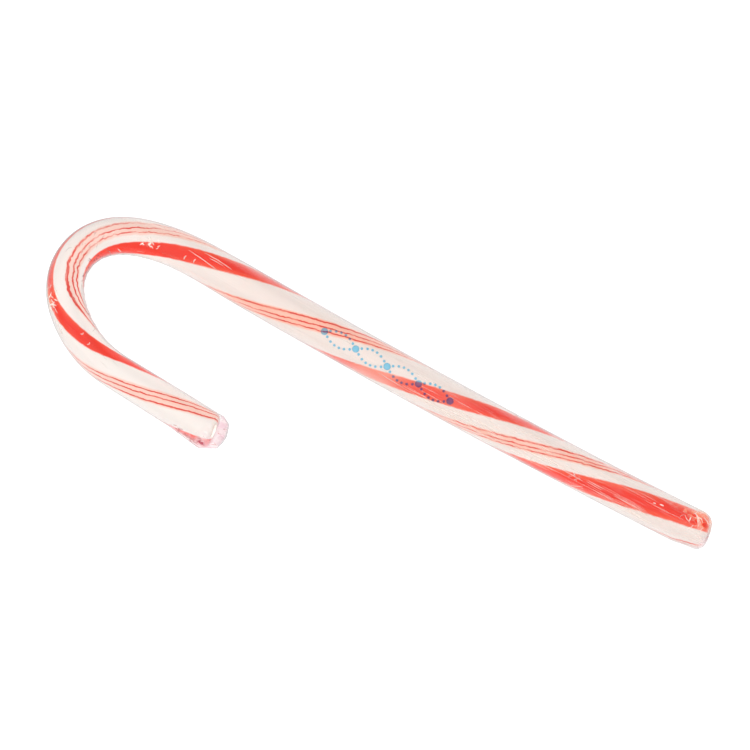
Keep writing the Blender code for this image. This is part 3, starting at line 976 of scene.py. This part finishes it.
# Places are millimetres along the stick and degrees round it from the top, towards the hook's inner side.
creases = {
    "sides": 6,
    "step": 0.22 * mm,
    "sink": 0.55,
    "waver": 0.12 * mm,
    "waverSize": 900.0,
    "seed": 2.0,
    "shade": (0.80, 0.66, 0.68),
    # the pale crease colour: painted glint, the light caught by the film's creases
    "glintCream": (1.0, 0.90, 0.80),
    # the dark crease colour: painted shadow in the film's folds
    "foldShadow": (0.46, 0.045, 0.08),
    # most of these pale creases are painted glints where the film's creases catch the light
    "drawn": (  # half width, strength, the places that the crease runs through
        (0.12, 0.55, ((4.5, -53), (3.4, -36), (2.0, -11))),
        (0.10, 0.60, ((4.2, -50), (3.0, -34), (2.1, -19))),
        (0.08, 0.40, ((2.6, -7), (3.0, -25), (3.6, -45))),
        (0.07, 0.35, ((6.6, -6), (6.7, -16), (6.0, -27))),
        (0.14, 0.80, ((4.7, -12), (4.7, -29))),
        (0.15, 0.85, ((10.4, -20), (10.9, -20), (11.4, -19))),
        (0.14, 0.70, ((12.0, -15), (12.7, -15))),
        (0.05, 0.30, ((5.4, -11), (9.0, -9), (14.8, -10))),
        (0.05, 0.35, ((12.0, 27), (16.0, 28), (19.5, 27))),
        (0.05, 0.30, ((12.4, 20), (16.0, 21), (19.5, 20))),
        (0.05, 0.30, ((13.0, 16), (17.0, 15), (19.5, 16))),
        (0.05, 0.30, ((12.0, 30), (25.0, 34), (37.5, 37))),
        (0.05, 0.30, ((13.4, 12), (17.0, 11), (20.0, 12))),
        (0.10, 0.40, ((26.2, 39), (27.2, 50), (28.4, 62))),
        (0.10, 0.40, ((37.5, 25), (37.7, 37), (37.4, 50))),
        (0.09, 0.45, ((66.0, 32), (69.0, 30), (72.0, 28))),
        (0.11, 0.55, ((106.6, -22), (110.0, -25), (113.0, -26))),
        (0.10, 0.50, ((108.6, 2), (112.0, -4), (116.0, -11))),
        (0.09, 0.50, ((108.4, -18), (110.0, -19), (111.7, -18))),
        (0.12, 0.70, ((113.8, 2), (114.0, 10), (113.9, 18))),
        (0.12, 0.70, ((115.8, 6), (116.0, 14), (115.9, 22))),
        (0.12, 0.55, ((129.5, 62), (130.3, 45))),
        (0.22, 0.90, ((149.4, -60), (149.3, -42), (149.8, -26))),
        (0.12, 0.70, ((156.4, 8), (156.8, 14), (156.5, 20))),
        (0.12, 0.70, ((158.9, 6), (159.2, 12), (158.9, 19))),
        # a painted highlight along the rounded rim of the candy's end
        (0.32, 0.95, ((188.8, 34), (189.3, 10), (189.6, -18))),
    ),
    "bundles": (  # stretch, turns round the stick, run, swing, half width, strength, share of painted shadow in the folds
        {"count": 14, "from": 0.4, "to": 4.4, "turns": (-75, -8), "run": 1.5, "swing": 16, "half": 0.09},
        {"count": 5, "from": 0.2, "to": 1.6, "turns": (0, 70), "run": 1.2, "swing": 9, "half": 0.08},
        {"count": 6, "from": 27, "to": 29, "turns": (20, 40), "run": 0.7, "swing": 9, "half": 0.10},
        {"count": 18, "from": 121.0, "to": 125.2, "turns": (-1, 27), "run": 0.6, "swing": 12, "half": 0.11},
        {"count": 8, "from": 132, "to": 137, "turns": (46, 58), "run": 0.4, "swing": 14, "half": 0.09},
        {"count": 12, "from": 132, "to": 138.5, "turns": (54, 74), "run": 0.3, "swing": 13, "half": 0.10},
        {"count": 9, "from": 137, "to": 144, "turns": (58, 76), "run": 0.9, "swing": 10, "half": 0.12},
        {"count": 9, "from": 131.6, "to": 140, "turns": (-20, 15), "run": 1.0, "swing": 11, "half": 0.10},
        {"count": 18, "from": 128, "to": 160, "turns": (60, 100), "run": 0.5, "swing": 20, "half": 0.09},
        {"count": 13, "from": 145.8, "to": 149.6, "turns": (-66, -24), "run": 0.9, "swing": 13, "half": 0.12},
        {"count": 10, "from": 149.8, "to": 154.0, "turns": (-50, -33), "run": 1.2, "swing": 8, "half": 0.09},
        {"count": 20, "from": 181.5, "to": 187.8, "turns": (-78, -48), "run": 1.3, "swing": 9, "half": 0.12},
        {"count": 9, "from": 186.9, "to": 188.2, "turns": (-60, -44), "run": 1.1, "swing": 9, "half": 0.13},
        {"count": 7, "from": 189.4, "to": 190.6, "turns": (-65, 60), "run": 0.9, "swing": 9, "half": 0.10},
        {"count": 22, "from": 10, "to": 61, "turns": (-40, 12), "run": 5.0, "swing": 1.5, "half": 0.055},
        {"count": 60, "from": 10, "to": 61, "turns": (12, 48), "run": 5.5, "swing": 1.5, "half": 0.055},
        {"count": 30, "from": 6, "to": 118, "turns": (-150, 150), "run": 5.0, "swing": 2.0, "half": 0.06},
        {"count": 30, "from": 118, "to": 186, "turns": (-150, 150), "run": 2.2, "swing": 6.0, "half": 0.07},
    ),
    "strengths": (
        (0.60, 0.20, 0.35, 0.75, 0.20, 0.45, 0.35, 0.20, 0.20)
        + (0.80, 0.60, 0.60, 0.80, 0.55, 0.30, 0.40, 0.12, 0.15)
    ),
    # for each bundle, how much painted shadow in the folds its creases carry
    "foldShading": (0, 0, 0, 0, 0.6, 0.9, 0.7, 0.45, 0.3, 0, 0, 0.7, 1.0, 0.6, 0, 0, 0, 0),
}


def bundleCreases(index):
    # short creases scattered over one stretch, each bent once near its middle
    settings, strongest = creases["bundles"][index], creases["strengths"][index]
    chance = np.random.default_rng(index + 1)
    for _ in range(settings["count"]):
        start = chance.uniform(settings["from"], settings["to"])
        turn = chance.uniform(*settings["turns"])
        run = settings["run"] * chance.uniform(0.5, 1.4)
        swing = settings["swing"] * chance.uniform(0.5, 1.4) * chance.choice((-1, 1))
        bend = 0.25 * chance.uniform(-1, 1)
        middle = (start + run * (0.5 - bend), turn + swing * (0.5 + bend))
        half = settings["half"] * chance.uniform(0.7, 1.3)
        strength = strongest * chance.uniform(0.6, 1.3)
        places = ((start, turn), middle, (start + run, turn + swing))
        yield half, min(strength, 1.0), places, creases["foldShading"][index]


def creaseLines():
    # one mesh of edges, a chain for each crease, on the stick's own surface
    mesh = bpy.data.meshes.new("creaseLines")
    lines = [(*line, 0) for line in creases["drawn"]]
    for index in range(len(creases["bundles"])):
        lines += bundleCreases(index)
    points, edges, halves, strengths, foldShading = [], [], [], [], []
    for half, strength, places, dark in lines:
        distance, turn = np.array(places, float).T
        distance, turn = distance * mm, np.radians(turn)
        travel = np.hypot(np.diff(distance), np.diff(turn) * along("width", distance[0]) / 2)
        travel = np.concatenate([[0], np.cumsum(travel)])
        steps = np.linspace(0, travel[-1], max(4, round(travel[-1] / creases["step"])) + 1)
        chain = onStick(np.interp(steps, travel, distance), np.interp(steps, travel, turn), film["lift"])
        edges += [(len(points) + index, len(points) + index + 1) for index in range(len(chain) - 1)]
        points += list(leanFoot(chain))
        halves += [half * mm] * len(chain)
        strengths += [strength] * len(chain)
        foldShading += [dark] * len(chain)
    mesh.from_pydata([tuple(point) for point in points], edges, [])
    storeNumber(mesh, "halfWidth", halves)
    storeNumber(mesh, "strength", strengths)
    storeNumber(mesh, "foldShading", foldShading)
    return mesh


def creaseGlintMaterial():
    material, tree, shader = newMaterial("creaseGlintsAndFoldShade", **{"Roughness": 0.28, "IOR": 1.45})
    strength = addNode(tree, "ShaderNodeAttribute", attribute_name="strength")
    place = addNode(tree, "ShaderNodeTexCoord")
    milky = addNode(tree, "ShaderNodeTexNoise", {"Scale": 1400.0, "Detail": 2.0})
    join(tree, place, milky, output="Object", socket="Vector")
    shaded = remap(tree, milky.outputs[0], 0.45, 0.75, 0.0, 0.6)
    # pale cream: painted glint where the creases catch the light
    colour = mixColours(tree, shaded, creases["glintCream"], creases["shade"])
    foldShading = addNode(tree, "ShaderNodeAttribute", attribute_name="foldShading")
    # painted shadow: dark creases stand for shade in the film's folds
    colour = mixColours(tree, foldShading.outputs["Fac"], colour, creases["foldShadow"])
    tree.links.new(colour, shader.inputs["Base Color"])
    opacity = remap(tree, milky.outputs[0], 0.35, 0.65, 0.65, 1.0)
    opacity = maths(tree, "MULTIPLY", opacity, strength.outputs["Fac"], clamp=True)
    tree.links.new(opacity, shader.inputs["Alpha"])
    return material


def makeCreases(skin, material):
    values = {
        "Skin": skin,
        "Sides": creases["sides"],
        "Sink": creases["sink"],
        "Waver": creases["waver"],
        "Waver Size": creases["waverSize"],
        "Seed": creases["seed"],
        "Material": material,
    }
    mesh = runTree(newObject("creaseLines", creaseLines()), creaseTree(), values)
    writePoints(mesh, readPoints(mesh), 0.0)
    piece = newObject("filmCreases", mesh)
    piece.visible_shadow = False
    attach(piece, "root")


# A plain printed chain of dots on the film: two strands that cross, with a larger dot at each crossing.

dots = {
    "from": 57 * mm,
    "to": 85 * mm,
    "spacing": 1.0 * mm,
    "wave": math.radians(21),
    "waveLength": 14 * mm,
    "large": 0.72 * mm,
    "small": 0.27 * mm,
    "clearance": 0.3,
    "thickness": 0.02 * mm,
    "lift": 0.012 * mm,
    "sides": 20,
    "ink": (0.16, 0.59, 0.73),
    "paleInk": (0.27, 0.70, 0.80),
    "opacity": (0.78, 0.95),
    "scatter": (0.10, 0.01, 0.13),
}


def dotTree():
    inputs = (
        ("Geometry", "Geometry"),
        ("Skin", "Object"),
        ("Sides", "Int"),
        ("Thickness", "Float"),
        ("Lift", "Float"),
        ("Material", "Material"),
    )
    tree, given, result = newTree("printedDots", "GeometryNodeTree", inputs, [("Geometry", "Geometry")])
    disc = addNode(
        tree,
        "GeometryNodeMeshCylinder",
        {"Fill Segments": 3, "Radius": 1.0},
        fill_type="TRIANGLE_FAN",
    )
    tree.links.new(given["Sides"], disc.inputs["Vertices"])
    tree.links.new(given["Thickness"], disc.inputs["Depth"])
    height = addNode(tree, "GeometryNodeCaptureAttribute")
    height.capture_items.new("FLOAT", "Height")
    where = addNode(tree, "GeometryNodeInputPosition")
    parts = join(tree, where, addNode(tree, "ShaderNodeSeparateXYZ"))
    tree.links.new(disc.outputs["Mesh"], height.inputs["Geometry"])
    tree.links.new(parts.outputs["Z"], height.inputs["Height"])
    size = addNode(tree, "GeometryNodeInputNamedAttribute", {"Name": "size"}, data_type="FLOAT")
    scale = addNode(tree, "ShaderNodeCombineXYZ", {"Z": 1.0})
    tree.links.new(size.outputs["Attribute"], scale.inputs["X"])
    tree.links.new(size.outputs["Attribute"], scale.inputs["Y"])
    facing = addNode(tree, "GeometryNodeInputNamedAttribute", {"Name": "facing"}, data_type="FLOAT_VECTOR")
    turned = addNode(tree, "FunctionNodeAlignRotationToVector", axis="Z")
    tree.links.new(facing.outputs["Attribute"], turned.inputs["Vector"])
    spread = addNode(tree, "GeometryNodeInstanceOnPoints")
    tree.links.new(given["Geometry"], spread.inputs["Points"])
    tree.links.new(height.outputs["Geometry"], spread.inputs["Instance"])
    tree.links.new(turned.outputs[0], spread.inputs["Rotation"])
    tree.links.new(scale.outputs[0], spread.inputs["Scale"])
    real = join(tree, spread, addNode(tree, "GeometryNodeRealizeInstances"))
    lift = maths(tree, "ADD", given["Lift"], height.outputs["Height"])
    placed = layOnSkin(tree, given["Skin"], real, lift)
    finishTree(tree, given, result, placed)
    return tree


def dotPlaces():
    steps = round((dots["to"] - dots["from"]) / dots["spacing"])
    for step in range(steps + 1):
        gone = step / steps * (dots["to"] - dots["from"])
        swing = math.sin(2 * math.pi * gone / dots["waveLength"])
        if abs(swing) > dots["clearance"]:
            yield dots["from"] + gone, dots["wave"] * swing, dots["small"]
            yield dots["from"] + gone, -dots["wave"] * swing, dots["small"]
    for crossing in range(round(2 * (dots["to"] - dots["from"]) / dots["waveLength"]) + 1):
        yield dots["from"] + crossing * dots["waveLength"] / 2, 0.0, dots["large"]


def makeDots(skin, material):
    distance, turn, size = np.array(list(dotPlaces())).T
    mesh = bpy.data.meshes.new("dotPlaces")
    mesh.from_pydata([tuple(point) for point in onStick(distance, turn, film["lift"])], [], [])
    storeNumber(mesh, "size", size)
    facing = inwardAt(distance) * np.sin(turn)[:, None]
    facing[:, 2] = np.cos(turn)
    mesh.attributes.new("facing", "FLOAT_VECTOR", "POINT").data.foreach_set("vector", facing.ravel())
    values = {
        "Skin": skin,
        "Sides": dots["sides"],
        "Thickness": dots["thickness"],
        "Lift": dots["lift"],
        "Material": material,
    }
    mesh = runTree(newObject("dotPlaces", mesh), dotTree(), values)
    points = readPoints(mesh)
    distance = nearestDistance(points)
    storeSpot(mesh, "stripeSpot", turnAt(points, distance) - along("twist", distance), distance)
    piece = newObject("printedDots", mesh)
    piece.visible_shadow = False
    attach(piece, "root")


def inkMaterial():
    # thin ink that did not cover evenly, and that the stripes under it darken
    material, tree, shader = newMaterial("printInk", **{"Roughness": 0.3, "IOR": 1.45})
    place = addNode(tree, "ShaderNodeTexCoord")
    mottle = addNode(tree, "ShaderNodeTexNoise", {"Scale": 2200.0, "Detail": 3.0})
    join(tree, place, mottle, output="Object", socket="Vector")
    share = remap(tree, mottle.outputs[0], 0.3, 0.7, 0.0, 1.0)
    ink = mixColours(tree, share, dots["ink"], dots["paleInk"])
    under = vectorMaths(tree, "ADD", usePattern(tree)["Colour"], dots["scatter"])
    tree.links.new(vectorMaths(tree, "MULTIPLY", ink, under), shader.inputs["Base Color"])
    low, high = dots["opacity"]
    tree.links.new(remap(tree, share, 0.0, 1.0, high, low), shader.inputs["Alpha"])
    return material


# Floor, light and camera.

studio = {
    "floorSize": 3.0,
    "floorColour": (0.45, 0.45, 0.45),
    "floorGlow": 0.70,
    "floorBounce": 0.40,
    "floorGloss": (0.36, 0.10),
    "glossReach": (12 * mm, 60 * mm),
    "darkBeyond": (-62 * mm, -74 * mm),
    "litPatch": {"place": (-40 * mm, -6 * mm, 0.0), "reach": 26 * mm, "extra": 0.40},
    "skyLight": 0.955,
    "ceilingInGloss": 0.07,
    "wallsInGloss": 0.55,
    "wallHeight": 0.45,
    "lights": (  # neither shows in gloss
        {"name": "keySoftbox", "place": (-0.28, -0.42, 0.82), "size": 0.80, "power": 3.8},
        {"name": "fillSoftbox", "place": (0.05, 0.40, 1.10), "size": 0.80, "power": 3.8},
    ),
    "lensLength": 120,
    "frameWidth": 147.45 * mm,
    "frameMiddle": (-3.166 * mm, 10.095 * mm),
    "frameTurn": math.radians(27.39),
    "cameraLift": 4 * mm,
}


def makeFloor():
    bpy.ops.mesh.primitive_plane_add(size=studio["floorSize"], location=(0, 0, -0.05 * mm))
    floor = bpy.context.object
    floor.name = "paleFloor"
    plain = {"Base Color": (*studio["floorColour"], 1), "Roughness": 0.8, "Emission Color": (1, 1, 1, 1)}
    material, tree, shader = newMaterial("paleFloor", **plain)
    # a white sheet to the eye, which throws back more light inside the hook and none past the crown
    place = addNode(tree, "ShaderNodeTexCoord")
    parts = join(tree, place, addNode(tree, "ShaderNodeSeparateXYZ"), output="Object")
    patch = studio["litPatch"]
    away = addNode(tree, "ShaderNodeVectorMath", {1: patch["place"]}, operation="DISTANCE")
    join(tree, place, away, output="Object")
    extra = remap(tree, away.outputs["Value"], 0.0, patch["reach"], patch["extra"], 0.0, "SMOOTHSTEP")
    ray = addNode(tree, "ShaderNodeLightPath")
    # what gloss sees of it: bright close by and dim further off
    nearby = remap(tree, ray.outputs["Ray Length"], *studio["glossReach"], *studio["floorGloss"])
    bounce = maths(tree, "ADD", studio["floorBounce"], extra)
    bounce = remap(tree, ray.outputs["Is Glossy Ray"], 0.0, 1.0, bounce, nearby)
    bounce = remap(tree, parts.outputs["X"], *studio["darkBeyond"], bounce, 0.0)
    glow = remap(tree, ray.outputs["Is Camera Ray"], 0.0, 1.0, bounce, studio["floorGlow"])
    tree.links.new(glow, shader.inputs["Emission Strength"])
    floor.data.materials.append(material)


def makeLights():
    world = bpy.data.worlds.new("softWhite")
    bpy.context.scene.world = world
    world.use_nodes = True
    tree = world.node_tree
    background = tree.nodes["Background"]
    background.inputs["Color"].default_value = (1.0, 1.0, 1.0, 1)
    # gloss mirrors white walls that darken towards the ceiling, and everything else gets even light
    direction = addNode(tree, "ShaderNodeTexCoord")
    height = join(tree, direction, addNode(tree, "ShaderNodeSeparateXYZ"), output="Generated")
    walls = remap(
        tree,
        height.outputs["Z"],
        0.0,
        studio["wallHeight"],
        studio["wallsInGloss"],
        studio["ceilingInGloss"],
        "SMOOTHSTEP",
    )
    ray = addNode(tree, "ShaderNodeLightPath")
    sky = remap(tree, ray.outputs["Is Glossy Ray"], 0.0, 1.0, studio["skyLight"], walls)
    tree.links.new(sky, background.inputs["Strength"])
    for settings in studio["lights"]:
        light = bpy.data.lights.new(settings["name"], "AREA")
        light.size = settings["size"]
        light.energy = settings["power"]
        lamp = newObject(settings["name"], light)
        lamp.location = settings["place"]
        lamp.visible_glossy = False
        lamp.rotation_euler = (-Vector(settings["place"])).to_track_quat("-Z", "Y").to_euler()


def makeCamera():
    camera = bpy.data.cameras.new("overhead")
    camera.lens = studio["lensLength"]
    camera.sensor_width = 36
    camera.clip_end = 10
    viewer = newObject("overhead", camera)
    height = studio["frameWidth"] * camera.lens / camera.sensor_width
    viewer.location = (*studio["frameMiddle"], height + studio["cameraLift"])
    viewer.rotation_euler = (0, 0, studio["frameTurn"])
    bpy.context.scene.camera = viewer
    bpy.context.scene.view_settings.view_transform = "Standard"


makeCamera()
makeFloor()
makeLights()
print("studio ready")

sweepRing = sweepTree()
grains = grainGroup()
pattern = stripeGroup()
makeCandy(candyMaterial())
print("candy stick done")

filmSkin = makeFilm(filmMaterial())
print("film done")

makeCreases(filmSkin, creaseGlintMaterial())
print("creases done")

makeDots(filmSkin, inkMaterial())
print("printed dots done")
